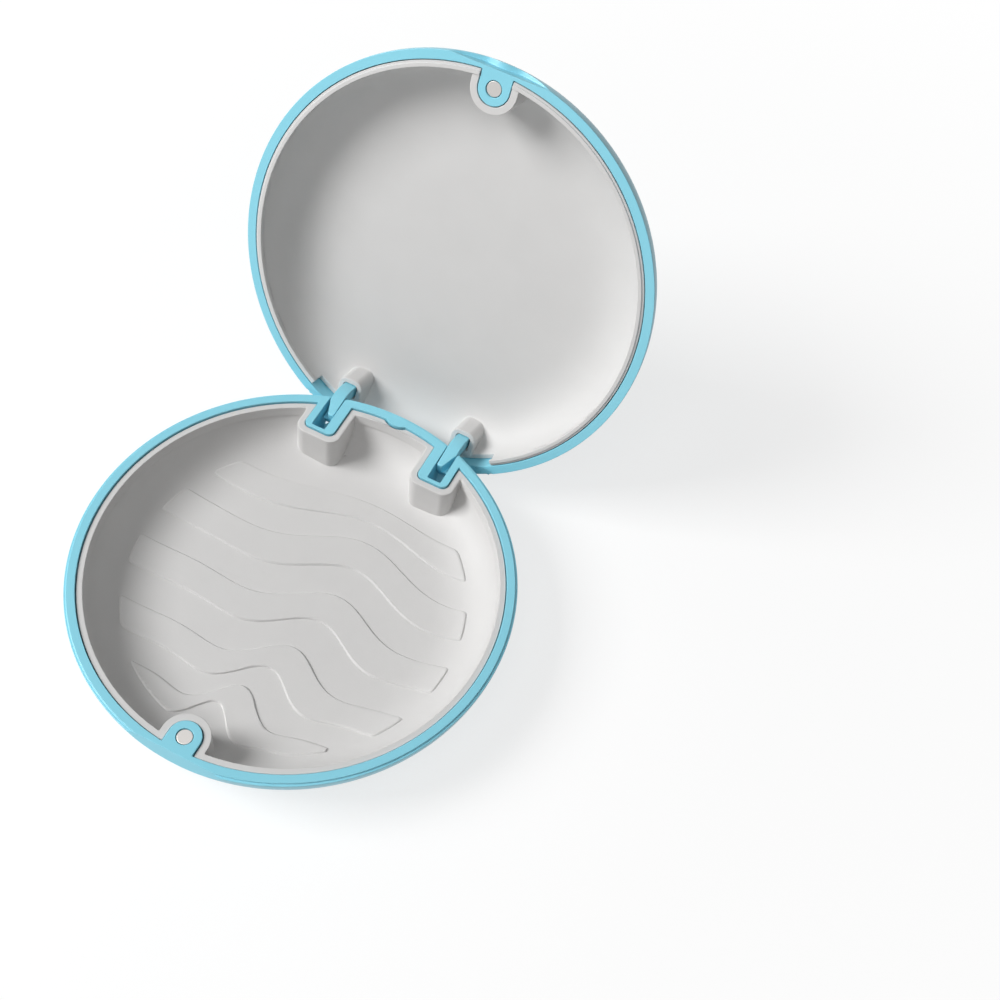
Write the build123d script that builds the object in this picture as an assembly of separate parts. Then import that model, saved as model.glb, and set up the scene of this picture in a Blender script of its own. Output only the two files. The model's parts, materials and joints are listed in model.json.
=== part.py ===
from build123d import *
import math
import os

# Round hinged denture case: a shallow base and a lid, both pebble shaped, each an
# outer shell with a liner dropped into it, joined at the back by two gooseneck arms.
# Frame: origin at the centre of the base's flat foot, +Z up, +Y towards the hinge,
# +X along the hinge axis. The lid is built closed and then swung open.

# ---- outer form ----
case_radius = 44.0
base_height = 13.4          # foot to rim
lid_height = 12.9           # rim to crown
foot_radius = 22.0          # flat under the base
crown_radius = 22.0         # flat on top of the lid
base_fullness = 2.1         # 2 is an ellipse, more is squarer
lid_fullness = 2.3
seam_gap = 0.1              # between the two rims when closed
seam_step_depth = 0.4       # shadow line round the base's outer edge
seam_step_width = 0.5

# ---- shells ----
shell_floor = 1.8
base_rim_width = 2.2
lid_rim_width = 1.9
shell_hollow_fullness = 2.4

# ---- liners ----
liner_gap = 0.25            # liner to shell, round the side
liner_floor = 1.8
liner_wall = 1.0            # round the side, under the thicker ring
liner_ring = 1.45           # width of a liner's top edge
floor_radius = 27.0         # flat bottom inside a liner
liner_hollow_fullness = 2.4
ring_drop = 0.45            # base liner's edge below the rim
base_ring_height = 2.2      # the ring stands in over the hollow's side by this much height
base_ring_draft = 0.35      # how much further in the ring's lower edge comes
lid_ring_height = 1.2
lid_lip = 0.35              # lid liner's lip past the lid's rim
lip_clearance = 0.55        # lip to the inside of the base's rim
rear_cut_angle = 31.0       # half angle of the gap in the lid liner's edge
rear_cut_height = 3.0

# ---- wavy ribs that keep the denture off the floor of the base liner ----
rib_height = 0.35
rib_root = 0.9              # how far a rib is sunk into the liner's floor
rib_reach = 34.6            # the ribs end on this circle
rib_edges = (0.71, 0.54, 0.37, 0.165, -0.03, -0.23, -0.435, -0.615, -0.77, -0.925)  # shares of the reach
wave_height = 4.9           # of a rib's edge
wave_length = 46.0          # on the middle line; longer behind it, shorter in front
wave_growth = 0.8
wave_lean = 0.05
wave_middle = 7.5           # crest of the middle line, to the right
wave_drift = 115.0          # a crest moves left by the square of its place over this
wave_taper = 1.6            # how fast the waves flatten towards the hinge
wave_fade = 0.4             # share of a wave's length over which it dies out
wave_steps = 16

# ---- hinge ----
hinge_inset = 5.1           # pin centre to the back of the case
hinge_drop = 4.0            # pin centre below the rim
open_angle = 115.0
arm_spacing = 27.3          # between the middles of the two arms
arm_width = 2.7
arm_depth = 2.4             # thickness of an arm seen from the side
arm_bend = 7.0              # radius of the gooseneck's outer curve
arm_inner_bend = 2.5
arm_rise = 0.3              # open arm's top above the rim, where it bends
nose_sink = 0.25            # open arm's tip below the rim
nose_reach = 2.1            # arm's tip past the pin
nose_corner = 0.4
nose_under = 1.95           # underside of the tip above the pin
nose_relief = 1.2           # taken off the outer side of the tip
nose_relief_step = 0.15     # and where that taper starts
nose_relief_length = 3.4
leg_thickness = 2.7
leg_front_inset = 10.8      # front of an arm's leg to the back of the case
knuckle_radius = 1.3
pin_radius = 0.5
pin_play = 0.05             # arm on its pin
pin_grip = 0.02             # pin in the cheeks
slot_gap = 0.3              # arm to the ends of its slot
side_gap = 0.15             # arm to the sides of its slot
cheek_inner = 2.2
cheek_outer = 1.6
box_front_wall = 0.85
box_corner = 1.3
sill_drop = 6.0             # bottom of the slot's rear window below the rim
pin_end_wall = 0.6          # pin's outer end to the outside of the cheek
pad_height = 6.6            # arm's foot above the lid's rim
peg_radius = 0.7
peg_length = 1.5
peg_gap = 0.03
collar_wall = 0.8
collar_gap = 0.6            # arm to the sides of the collar round it
collar_front_gap = 0.3
collar_top = 1.8            # collar's edge above the lid's rim
collar_corner = 1.9
collar_round = 0.4          # round-over of the collar's edge
relief_gap = 0.3            # base's back edge to the lid as it swings past

# ---- hinge pockets of the base liner ----
pocket_wall = 1.4
pocket_corner = 2.4
pocket_round = 0.5          # round-over of the pocket's upper edge

# ---- magnets and their bosses ----
magnet_radius = 1.5
magnet_thickness = 2.0
magnet_sink = 0.15
magnet_gap = 0.03
magnet_inset = 4.9          # magnet's middle to the outside of the case
boss_radius = 3.2
boss_liner_wall = 1.45

# ---- thumb recess, half in the base and half in the lid ----
recess_half_width = 10.5
recess_drop = 3.2           # into the base
recess_peak = 2.35          # into the lid, at each side
recess_peak_offset = 3.6
recess_dip = 1.75           # into the lid, in the middle
recess_slope = 0.1          # of the wavy edge at its two ends

# ---- liner clip on the base's rim ----
clip_length = 4.6
clip_reach = 0.8
clip_height = 1.6
clip_gap = 0.35             # clip to its notch in the liner

# ---- worked out from the above ----
rim_z = base_height
lid_rim_z = rim_z + seam_gap
hinge_y = case_radius - hinge_inset
hinge_z = rim_z - hinge_drop
hinge_axis = Axis((0, hinge_y, hinge_z), (1, 0, 0))
arm_x = arm_spacing / 2
slot_width = arm_width + 2 * side_gap
box_inner_x = arm_x - slot_width / 2 - cheek_inner
box_outer_x = arm_x + slot_width / 2 + cheek_outer
leg_front_y = case_radius - leg_front_inset
slot_front_y = leg_front_y - slot_gap
box_front_y = slot_front_y - box_front_wall
magnet_y = magnet_inset - case_radius
open_turn = math.radians(open_angle)
far = 3 * case_radius
past = 1.0                  # how far a cutting form runs past what it cuts
curve_steps = 7             # points along the side of a pebble's section


def half_section(radius, flat, height, fullness):
    # Right half of a pebble's section, rim at the origin's level, crown upwards.
    points = []
    for step in range(curve_steps + 1):
        turn = math.radians(90 * step / curve_steps)
        across = max(math.cos(turn), 0) ** (2 / fullness)
        up = math.sin(turn) ** (2 / fullness)
        points.append((flat + (radius - flat) * across, height * up))
    side = Spline(*points, tangents=[(0, 1), (-1, 0)])
    outline = side + Polyline((flat, height), (0, height), (0, 0), (radius, 0))
    return Plane.XZ * make_face(outline)


def pebble(radius, flat, height, fullness, level, down=False):
    # Half pebble standing on, or hanging below, the given level.
    form = revolve(half_section(radius, flat, height, fullness), Axis.Z)
    if down:
        form = mirror(form, Plane.XY)
    return Pos(0, 0, level) * form


def disc(radius, low, high, x=0, y=0):
    return Pos(x, y, low) * Cylinder(radius, high - low, align=(Align.CENTER, Align.CENTER, Align.MIN))


def block(x_low, x_high, y_low, y_high, z_low, z_high):
    size = Box(x_high - x_low, y_high - y_low, z_high - z_low, align=(Align.MIN,) * 3)
    return Pos(x_low, y_low, z_low) * size


def rounded_column(x_low, x_high, front, back, z_low, z_high, corner):
    # Upright column whose two front edges are rounded.
    form = block(x_low, x_high, front, back, z_low, z_high)
    edges = form.edges().filter_by(Axis.Z).sort_by(Axis.Y)[:2]
    return fillet(edges, corner)


def soften(column, level, radius):
    # Round over the column's edge at one level, all but the straight run at its back.
    rim = column.edges().filter_by_position(Axis.Z, level, level)
    return fillet(rim.sort_by(Axis.Y)[:-1], radius)


def side_form(outline, middle, width):
    # Outline in Y and Z, given a thickness along X about a middle.
    face = Plane.YZ * outline
    return Pos(middle - width / 2, 0, 0) * extrude(face, width, dir=(1, 0, 0))


def both_sides(form):
    return form + mirror(form, Plane.YZ)


def one_solid(form):
    solids = form.solids().sort_by(SortBy.VOLUME)
    return solids[-1]


def boss(radius, low, high):
    # Round column joined straight to the front wall.
    return disc(radius, low, high, y=magnet_y) + block(-radius, radius, -far, magnet_y, low, high)


# ---- hinge arm, in the closed position ----
def closed_point(ahead, above):
    # Where a point of the open arm, measured from the pin, lies when closed.
    y = ahead * math.cos(open_turn) - above * math.sin(open_turn)
    z = ahead * math.sin(open_turn) + above * math.cos(open_turn)
    return (hinge_y + y, hinge_z + z)


def crossing(above, y):
    # Point at a given Y on the closed line that lies at one height in the open arm.
    ahead = (y - hinge_y + above * math.sin(open_turn)) / math.cos(open_turn)
    return closed_point(ahead, above)


tip_top = hinge_drop - nose_sink
bend_top = hinge_drop + arm_rise
leg_back_y = leg_front_y + leg_thickness
leg_y = leg_front_y + leg_thickness / 2
foot_z = lid_rim_z + pad_height
arm_edge_x = arm_x + arm_width / 2


def rounded(face, corner, radius):
    # Fillet one corner of a flat outline.
    return fillet(face.vertices().sort_by_distance(Vector(*corner))[0], radius)


def arm_outline():
    # Gooseneck seen from the side: foot in the lid, outer curve, nose, knuckle, inner curve.
    nose = closed_point(-nose_reach, tip_top)
    outer_bend = crossing(bend_top, leg_front_y)
    inner_bend = crossing(bend_top - arm_depth, leg_back_y)
    corners = [
        (leg_front_y, foot_z),
        outer_bend,
        nose,
        closed_point(-nose_reach, nose_under),
        closed_point(-knuckle_radius, 0),
        closed_point(0, -knuckle_radius),
        closed_point(knuckle_radius, knuckle_radius / 2),
        inner_bend,
        (leg_back_y, foot_z),
    ]
    face = make_face(Polyline(*corners, close=True))
    face = rounded(face, outer_bend, arm_bend)
    face = rounded(face, inner_bend, arm_inner_bend)
    face = rounded(face, nose, nose_corner)
    return face + Pos(hinge_y, hinge_z) * Circle(knuckle_radius)


def nose_taper():
    # Wedge taken off the outer side of the nose, drawn on the open arm and swung shut.
    start = nose_relief_length - nose_reach
    outline = make_face(Polyline(
        (arm_edge_x + past, start),
        (arm_edge_x - nose_relief_step, start),
        (arm_edge_x - nose_relief, -nose_reach - nose_corner),
        (arm_edge_x + past, -nose_reach - nose_corner),
        close=True,
    ))
    wedge = Pos(0, 0, knuckle_radius) * extrude(outline, hinge_drop, dir=(0, 0, 1))
    return Pos(0, hinge_y, hinge_z) * Rot(open_angle, 0, 0) * wedge


arm_blank = side_form(arm_outline(), arm_x, arm_width) - nose_taper()
pin_line = Pos(arm_x, hinge_y, hinge_z) * Rot(0, 90, 0)
arm_blank -= pin_line * Cylinder(pin_radius + pin_play, 2 * arm_width)
right_arm = one_solid(arm_blank + disc(peg_radius, foot_z, foot_z + peg_length, arm_x, leg_y))

# ---- hinge pin ----
pin_low = box_inner_x + pin_end_wall
pin_high = box_outer_x - pin_end_wall
pin_place = Pos((pin_low + pin_high) / 2, hinge_y, hinge_z) * Rot(0, 90, 0)
right_pin = pin_place * Cylinder(pin_radius, pin_high - pin_low)


# ---- base shell ----
def slot():
    # Arm's slot: its front wall clears the closed leg and the tip's swing, and its
    # back is a window through the case.
    swing = math.hypot(nose_reach, tip_top) + slot_gap
    tip_y, tip_z = closed_point(-nose_reach, tip_top)
    bend_y, bend_z = crossing(bend_top, leg_front_y)
    low_y = tip_y + 2 * slot_gap
    low_z = tip_z - slot_gap
    clear = slot_gap / math.sin(open_turn)
    corners = [
        (slot_front_y, rim_z + past),
        (bend_y - clear, bend_z),
        (tip_y - clear, tip_z),
        (tip_y, low_z),
        (low_y, low_z),
        (hinge_y + knuckle_radius / 2, rim_z - sill_drop),
        (case_radius + past, rim_z - sill_drop),
        (case_radius + past, rim_z + past),
    ]
    outline = make_face(Polyline(*corners, close=True))
    tip_space = Pos(low_y, low_z) * Rectangle(far, hinge_z - low_z, align=(Align.MAX, Align.MIN))
    outline += tip_space & (Pos(hinge_y, hinge_z) * Circle(swing))
    return side_form(outline, arm_x, slot_width)


base_outer = pebble(case_radius, foot_radius, base_height, base_fullness, rim_z, down=True)
base_hollow_radius = case_radius - base_rim_width
base_hollow = pebble(
    base_hollow_radius, foot_radius, base_height - shell_floor, shell_hollow_fullness, rim_z, down=True
)
hinge_box = rounded_column(box_inner_x, box_outer_x, box_front_y, case_radius, 0, rim_z, box_corner)
clip_radius = (clip_length ** 2 / 4 + clip_reach ** 2) / (2 * clip_reach)
clip_y = base_hollow_radius - clip_reach + clip_radius
clip = disc(clip_radius, rim_z - clip_height, rim_z, y=clip_y)
clip &= block(-clip_length, clip_length, 0, base_hollow_radius + base_rim_width / 2, 0, rim_z)

base_shell = base_outer - base_hollow
base_fill = both_sides(hinge_box) + boss(boss_radius, 0, rim_z) + clip
base_shell += base_fill & base_outer
base_shell -= both_sides(slot())
pin_bore = pin_radius + pin_grip
bore_length = pin_high - box_inner_x + past
bore_place = Pos(pin_high - bore_length / 2, hinge_y, hinge_z) * Rot(0, 90, 0)
base_shell -= both_sides(bore_place * Cylinder(pin_bore, bore_length))
magnet_floor = rim_z - magnet_sink - magnet_thickness
base_shell -= disc(magnet_radius + magnet_gap, magnet_floor, rim_z + past, y=magnet_y)
seam_ring = disc(case_radius + past, rim_z - seam_step_depth, rim_z + past)
seam_ring -= disc(case_radius - seam_step_width, 0, rim_z + 2 * past)
base_shell -= seam_ring

# The base's half of the thumb recess is one leaning flat, which leaves a curved lower edge.
recess_y = -math.sqrt(case_radius ** 2 - recess_half_width ** 2)


def outer_radius_at(drop):
    reach = 1 - (drop / base_height) ** base_fullness
    return foot_radius + (case_radius - foot_radius) * reach ** (1 / base_fullness)


recess_low_y = -outer_radius_at(recess_drop)
recess_lean = (recess_y - recess_low_y) / recess_drop
recess_side = make_face(Polyline(
    (recess_y + recess_lean * past, rim_z + past),
    (recess_low_y - recess_lean * recess_drop, rim_z - 2 * recess_drop),
    (-far, rim_z - 2 * recess_drop),
    (-far, rim_z + past),
    close=True,
))
base_shell -= side_form(recess_side, 0, 4 * recess_half_width)
base_shell = one_solid(base_shell)


# ---- base liner ----
liner_radius = base_hollow_radius - liner_gap
liner_outer = pebble(
    liner_radius, foot_radius, base_height - shell_floor, shell_hollow_fullness, rim_z, down=True
)
liner_depth = base_height - shell_floor - liner_floor
liner_inner_radius = liner_radius - liner_ring
ring_z = rim_z - ring_drop


def base_hollow_form(depth):
    return pebble(liner_radius - liner_wall, floor_radius, depth, liner_hollow_fullness, rim_z, down=True)


def ring_opening():
    # Space inside the ring, a little narrower at its lower edge.
    mouth = liner_inner_radius + base_ring_draft * (ring_drop + past) / base_ring_height
    throat = liner_inner_radius - base_ring_draft
    height = base_ring_height + ring_drop + past
    cone = Cone(throat, mouth, height, align=(Align.CENTER, Align.CENTER, Align.MIN))
    return Pos(0, 0, ring_z - base_ring_height) * cone


def rib_edge(share):
    # One wavy edge: a crest that dies out to both sides, the longer the further back.
    row_y = share * rib_reach
    length = wave_length + wave_growth * row_y
    crest_x = wave_middle - row_y ** 2 / wave_drift
    height = wave_height * min(1, wave_taper * (1 - share))
    points = []
    for step in range(wave_steps + 1):
        x = (rib_reach + past) * (2 * step / wave_steps - 1)
        along = (x - crest_x) / length
        ripple = math.cos(2 * math.pi * along) * math.exp(-(along / wave_fade) ** 2)
        points.append((x, row_y + height * ripple + wave_lean * x))
    return Spline(*points)


def rib(back_share, front_share):
    back = rib_edge(back_share)
    front = rib_edge(front_share)
    outline = back + front + Line(back @ 0, front @ 0) + Line(back @ 1, front @ 1)
    return rib_layer & extrude(make_face(outline), rim_z, dir=(0, 0, 1))


under_ring = disc(far, 0, ring_z - base_ring_height)
liner_hollow = (base_hollow_form(liner_depth) & under_ring) + ring_opening()
rib_layer = base_hollow_form(liner_depth + rib_root) & disc(rib_reach, 0, rim_z - liner_depth / 2)
rib_layer -= base_hollow_form(liner_depth - rib_height)
pocket_reach = liner_gap + pocket_wall
pocket = rounded_column(
    box_inner_x - pocket_reach, box_outer_x + pocket_reach, box_front_y - pocket_reach, case_radius,
    shell_floor, ring_z, pocket_corner
)
pocket = soften(pocket, ring_z, pocket_round)
pocket_space = rounded_column(
    box_inner_x - liner_gap, box_outer_x + liner_gap, box_front_y - liner_gap, far,
    -past, rim_z + past, box_corner + liner_gap
)
base_liner = liner_outer - liner_hollow
for back_share, front_share in zip(rib_edges[::2], rib_edges[1::2]):
    base_liner += rib(back_share, front_share)
base_liner -= disc(far, ring_z, rim_z + past)
base_liner += both_sides(pocket) & liner_outer
base_liner += boss(boss_radius + liner_gap + boss_liner_wall, 0, ring_z) & liner_outer
base_liner -= both_sides(pocket_space)
base_liner -= boss(boss_radius + liner_gap, -past, rim_z + past)
base_liner -= disc(clip_radius + clip_gap, rim_z - clip_height - clip_gap, rim_z + past, y=clip_y)
base_liner = one_solid(base_liner)

# ---- lid shell, closed ----
lid_outer = pebble(case_radius, crown_radius, lid_height - seam_gap, lid_fullness, lid_rim_z)
lid_hollow_radius = case_radius - lid_rim_width
lid_hollow_height = lid_height - seam_gap - shell_floor
lid_hollow = pebble(lid_hollow_radius, crown_radius, lid_hollow_height, shell_hollow_fullness, lid_rim_z)
lid_top = lid_rim_z + lid_height
pad = block(
    arm_x - arm_width / 2, arm_x + arm_width / 2, leg_front_y, leg_back_y, foot_z, lid_top
)
lid_shell = lid_outer - lid_hollow
lid_shell += (both_sides(pad) + boss(boss_radius, lid_rim_z, lid_top)) & lid_outer
peg_hole = disc(peg_radius + peg_gap, foot_z - past, foot_z + peg_length + peg_gap, arm_x, leg_y)
lid_shell -= both_sides(peg_hole)
magnet_roof = lid_rim_z + magnet_sink + magnet_thickness
lid_shell -= disc(magnet_radius + magnet_gap, lid_rim_z - past, magnet_roof, y=magnet_y)

# The lid's half of the thumb recess has a wavy upper edge.
upper_edge = Spline(
    (-recess_half_width, 0),
    (-recess_peak_offset, recess_peak),
    (0, recess_dip),
    (recess_peak_offset, recess_peak),
    (recess_half_width, 0),
    tangents=[(1, recess_slope), (1, -recess_slope)],
)
recess_bottom = Polyline(
    (recess_half_width, 0),
    (recess_half_width, -past),
    (-recess_half_width, -past),
    (-recess_half_width, 0),
)
recess_front = Plane.XZ * Pos(0, lid_rim_z) * make_face(upper_edge + recess_bottom)
lid_recess = extrude(recess_front, far, dir=(0, -1, 0))
lid_shell -= Pos(0, recess_y, 0) * lid_recess


# The back edge of the base swings into the lid as the lid opens. The barrel is the
# space that this edge sweeps about the hinge axis.
def sweep_barrel(gap):
    reach = math.sqrt(case_radius ** 2 - hinge_y ** 2) + 2 * past
    points = []
    for step in range(-4, 5):
        x = reach * step / 4
        behind = max(math.sqrt(case_radius ** 2 - x ** 2) - hinge_y, 0)
        points.append((x, math.hypot(behind, hinge_drop + seam_gap) + gap))
    rim_curve = Spline(*points)
    ends = Polyline(points[-1], (points[-1][0], 0), (points[0][0], 0), points[0])
    section = make_face(rim_curve + ends)
    return Pos(0, hinge_y, hinge_z) * revolve(section, Axis.X)


lid_shell -= sweep_barrel(relief_gap)
lid_shell = one_solid(lid_shell)

# ---- lid liner, closed ----
lid_liner_radius = lid_hollow_radius - liner_gap
lid_liner_outer = pebble(lid_liner_radius, crown_radius, lid_hollow_height, shell_hollow_fullness, lid_rim_z)
lip_radius = base_hollow_radius - lip_clearance
lid_ring_inner = lip_radius - liner_ring
lid_ring_top = lid_rim_z - lid_lip + lid_ring_height
lid_liner_hollow = pebble(
    lid_liner_radius - liner_wall, floor_radius, lid_hollow_height - liner_floor,
    liner_hollow_fullness, lid_rim_z
)
lid_liner_hollow &= disc(far, lid_ring_top, lid_top)
lid_liner_hollow += disc(lid_ring_inner, 0, lid_ring_top)
lid_liner = lid_liner_outer + disc(lip_radius, lid_rim_z - lid_lip, lid_rim_z) - lid_liner_hollow
collar_reach = collar_gap + collar_wall
collar_z = lid_rim_z + collar_top
collar = rounded_column(
    arm_x - arm_width / 2 - collar_reach, arm_edge_x + collar_reach,
    leg_front_y - collar_front_gap - collar_wall, case_radius, collar_z, lid_top, collar_corner
)
collar = soften(collar, collar_z, collar_round)
collar -= block(0, far, leg_back_y + collar_reach, far, 0, lid_rim_z + rear_cut_height)
lid_liner += both_sides(collar) & lid_liner_outer
lid_liner += boss(boss_radius + liner_gap + boss_liner_wall, lid_rim_z, lid_top) & lid_liner_outer
lid_liner -= boss(boss_radius + liner_gap, 0, 2 * lid_top)

cut_edge = far * math.tan(math.radians(rear_cut_angle))
cut_face = make_face(Polyline((0, 0), (cut_edge, far), (-cut_edge, far), close=True))
rear_cut = extrude(cut_face, lid_rim_z + rear_cut_height, dir=(0, 0, 1))
rear_cut -= disc(lid_ring_inner - 2 * liner_ring, 0, lid_top)
arm_space = rounded_column(
    arm_x - arm_width / 2 - collar_gap, arm_edge_x + collar_gap,
    leg_front_y - collar_front_gap, leg_back_y + collar_gap, 0, 2 * lid_top, collar_corner - collar_wall
)
lid_liner -= rear_cut - both_sides(collar)
lid_liner -= both_sides(arm_space)
lid_liner -= sweep_barrel(relief_gap)
lid_liner = one_solid(lid_liner)

# ---- magnets ----
base_magnet = disc(magnet_radius, magnet_floor, magnet_floor + magnet_thickness, y=magnet_y)
lid_magnet = disc(magnet_radius, magnet_roof - magnet_thickness, magnet_roof, y=magnet_y)


def opened(form):
    return form.rotate(hinge_axis, -open_angle)


parts = {
    "base_shell": base_shell,
    "base_liner": base_liner,
    "base_magnet": base_magnet,
    "hinge_pin_right": right_pin,
    "hinge_pin_left": mirror(right_pin, Plane.YZ),
    "lid_shell": opened(lid_shell),
    "lid_liner": opened(lid_liner),
    "lid_magnet": opened(lid_magnet),
    "hinge_arm_right": opened(right_arm),
    "hinge_arm_left": opened(mirror(right_arm, Plane.YZ)),
}

os.makedirs("parts", exist_ok=True)
for name, form in parts.items():
    export_step(form, f"parts/{name}.step")
    print(name, len(form.solids()), round(form.volume, 2), form.is_valid)
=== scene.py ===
import json
import math
import bmesh
import bpy
from mathutils import Matrix, Vector


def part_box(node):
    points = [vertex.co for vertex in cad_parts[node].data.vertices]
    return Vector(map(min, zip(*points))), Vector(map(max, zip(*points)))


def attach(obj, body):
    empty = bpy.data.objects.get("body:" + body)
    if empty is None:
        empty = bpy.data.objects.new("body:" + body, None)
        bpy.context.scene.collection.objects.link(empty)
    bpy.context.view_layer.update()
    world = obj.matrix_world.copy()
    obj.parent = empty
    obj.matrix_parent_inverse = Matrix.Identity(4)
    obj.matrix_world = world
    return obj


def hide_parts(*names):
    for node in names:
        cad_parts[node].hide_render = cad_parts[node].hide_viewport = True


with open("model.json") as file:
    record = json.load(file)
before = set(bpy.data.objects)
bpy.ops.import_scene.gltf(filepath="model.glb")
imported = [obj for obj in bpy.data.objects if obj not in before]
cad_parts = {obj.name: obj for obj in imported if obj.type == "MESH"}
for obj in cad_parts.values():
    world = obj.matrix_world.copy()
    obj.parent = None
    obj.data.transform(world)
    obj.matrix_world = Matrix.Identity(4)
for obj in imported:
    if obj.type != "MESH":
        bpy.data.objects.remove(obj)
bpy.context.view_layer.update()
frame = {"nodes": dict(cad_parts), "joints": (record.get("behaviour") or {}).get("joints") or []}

print("stage: frame loaded")

# Sizes are millimetres and angles degrees. A piece is shaped at that size, closed, and
# goes to metres and to its open place when it is finished.
toMm = 1000
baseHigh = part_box("base_shell")[1]
lidLow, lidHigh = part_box("lid_shell")
joint = frame["joints"][0]
case = {
    "radius": (lidHigh[0] - lidLow[0]) / 2 * toMm,
    "rim": baseHigh[2] * toMm,
    "lidHeight": 12.9,
    "flat": 22.0,              # radius of the foot and of the crown
    "seamGap": 0.1,
    "hingeY": joint["pos_m"][1] * toMm,
    "hingeZ": joint["pos_m"][2] * toMm,
    "openAngle": joint["range_deg"][1],
    "segments": 288,           # round a whole turn
    "smallSegments": 96,       # round a boss, a clip or a magnet
    "holeSegments": 64,
    "rings": 40,               # up a curved side
    "cornerSteps": 8,          # round the corner of a column
    "edge": 0.16,              # rounding of moulded edges
}
past = 1.0                     # how far a cutter runs on past what it cuts
overlap = 0.001                # how far two cutters that meet reach into each other
openTurn = math.radians(case["openAngle"])
lidRim = case["rim"] + case["seamGap"]
lidTop = lidRim + case["lidHeight"]
mirrorX = Matrix.Scale(-1, 4, (1, 0, 0))


def linearColor(code):
    channels = [int(code[i:i + 2], 16) / 255 for i in (0, 2, 4)]
    linear = [c / 12.92 if c <= 0.04045 else ((c + 0.055) / 1.055) ** 2.4 for c in channels]
    return (*linear, 1.0)


mathNode = "ShaderNodeMath"


def addNode(tree, kind, inputs=(), **settings):
    node = tree.nodes.new(kind)
    for name, value in settings.items():
        setattr(node, name, value)
    for name, value in dict(inputs).items():
        if isinstance(value, bpy.types.NodeSocket):
            tree.links.new(value, node.inputs[name])
        else:
            node.inputs[name].default_value = value
    return node


def startMaterial(name):
    material = bpy.data.materials.new(name)
    material.use_nodes = True
    tree = material.node_tree
    tree.nodes.clear()
    place = addNode(tree, "ShaderNodeTexCoord").outputs["Object"]
    return material, tree, place


# ABS injected into a spark-eroded, lightly polished mould: even colour and a soft sheen.
satinAbs = {
    "color": "8dd5e7",
    "deep": "85cfe2",          # where the melt flowed thinner
    "ior": 1.53,
    "roughness": (0.30, 0.38),
    "cloud": 14.0,             # mm, width of the faint flow marks
    "cloudDetail": (2.0, 0.45),
    "grain": 0.35,             # mm, drawn coarser than the mould's real 0.05 mm spark grain
    "grainDetail": (1.0, 0.5),
    "bump": 0.010,             # mm
    "bumpStrength": 0.6,
}

# Polypropylene from a matt mould: slightly waxy, hardly any shine.
mattPolypropylene = {
    "color": "d2d1d0",
    "deep": "cdcccb",
    "ior": 1.49,
    "roughness": (0.50, 0.60),
    "cloud": 9.0,
    "cloudDetail": (2.0, 0.5),
    "grain": 0.45,
    "grainDetail": (1.5, 0.55),
    "bump": 0.014,
    "bumpStrength": 0.6,
}


def mouldedPlastic(name, look):
    material, tree, place = startMaterial(name)
    detail, roughness = look["cloudDetail"]
    cloud = addNode(tree, "ShaderNodeTexNoise", {
        "Vector": place, "Scale": toMm / look["cloud"], "Detail": detail, "Roughness": roughness})
    tone = addNode(tree, "ShaderNodeMix", {
        "Factor": cloud.outputs["Fac"], "A": linearColor(look["color"]),
        "B": linearColor(look["deep"])}, data_type="RGBA")
    sheen = addNode(tree, "ShaderNodeMapRange", {
        "Value": cloud.outputs["Fac"], "To Min": look["roughness"][0], "To Max": look["roughness"][1]})
    detail, roughness = look["grainDetail"]
    grain = addNode(tree, "ShaderNodeTexNoise", {
        "Vector": place, "Scale": toMm / look["grain"], "Detail": detail, "Roughness": roughness})
    relief = addNode(tree, "ShaderNodeBump", {
        "Height": grain.outputs["Fac"], "Distance": look["bump"] / toMm, "Strength": look["bumpStrength"]})
    surface = addNode(tree, "ShaderNodeBsdfPrincipled", {
        "Base Color": tone.outputs["Result"], "Roughness": sheen.outputs["Result"],
        "Normal": relief.outputs["Normal"], "IOR": look["ior"]})
    addNode(tree, "ShaderNodeOutputMaterial", {"Surface": surface.outputs["BSDF"]})
    return material


metalSet = {
    "nickel": "c4c1be",
    "nickelRoughness": (0.34, 0.46),
    "speck": 0.4,              # mm
    "speckDetail": 3.0,
    "steel": "9c9b99",
    "steelRoughness": (0.22, 0.34),
    "drawnLine": 0.12,         # mm a radian, so that the marks along a pin lie 0.75 mm apart
    "waveRadians": 20,         # that a wave texture runs through in one unit
    "drawnDistortion": 2.0,
    "drawnDetail": 2.0,
}


def metalSurface(tree, marks, color, roughness):
    haze = addNode(tree, "ShaderNodeMapRange", {
        "Value": marks.outputs["Fac"], "To Min": roughness[0], "To Max": roughness[1]})
    surface = addNode(tree, "ShaderNodeBsdfPrincipled", {
        "Base Color": linearColor(color), "Metallic": 1.0, "Roughness": haze.outputs["Result"]})
    addNode(tree, "ShaderNodeOutputMaterial", {"Surface": surface.outputs["BSDF"]})


# Nickel plated on a sintered magnet: pale, a little cloudy, softly mirroring.
def platedNickel():
    material, tree, place = startMaterial("platedNickel")
    speck = addNode(tree, "ShaderNodeTexNoise", {
        "Vector": place, "Scale": toMm / metalSet["speck"], "Detail": metalSet["speckDetail"]})
    metalSurface(tree, speck, metalSet["nickel"], metalSet["nickelRoughness"])
    return material


# Drawn stainless wire: fine marks round the pin, shinier than the plating.
def drawnSteel():
    material, tree, place = startMaterial("drawnSteel")
    marks = addNode(tree, "ShaderNodeTexWave", {
        "Vector": place, "Scale": toMm / metalSet["drawnLine"] / metalSet["waveRadians"],
        "Distortion": metalSet["drawnDistortion"], "Detail": metalSet["drawnDetail"]}, bands_direction="X")
    metalSurface(tree, marks, metalSet["steel"], metalSet["steelRoughness"])
    return material


bluePlastic = mouldedPlastic("satinAbs", satinAbs)
greyPlastic = mouldedPlastic("mattPolypropylene", mattPolypropylene)
nickel = platedNickel()
steel = drawnSteel()
print("stage: materials")


def newPiece(name, mesh):
    piece = bpy.data.objects.new(name, mesh)
    bpy.context.collection.objects.link(piece)
    return piece


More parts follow.
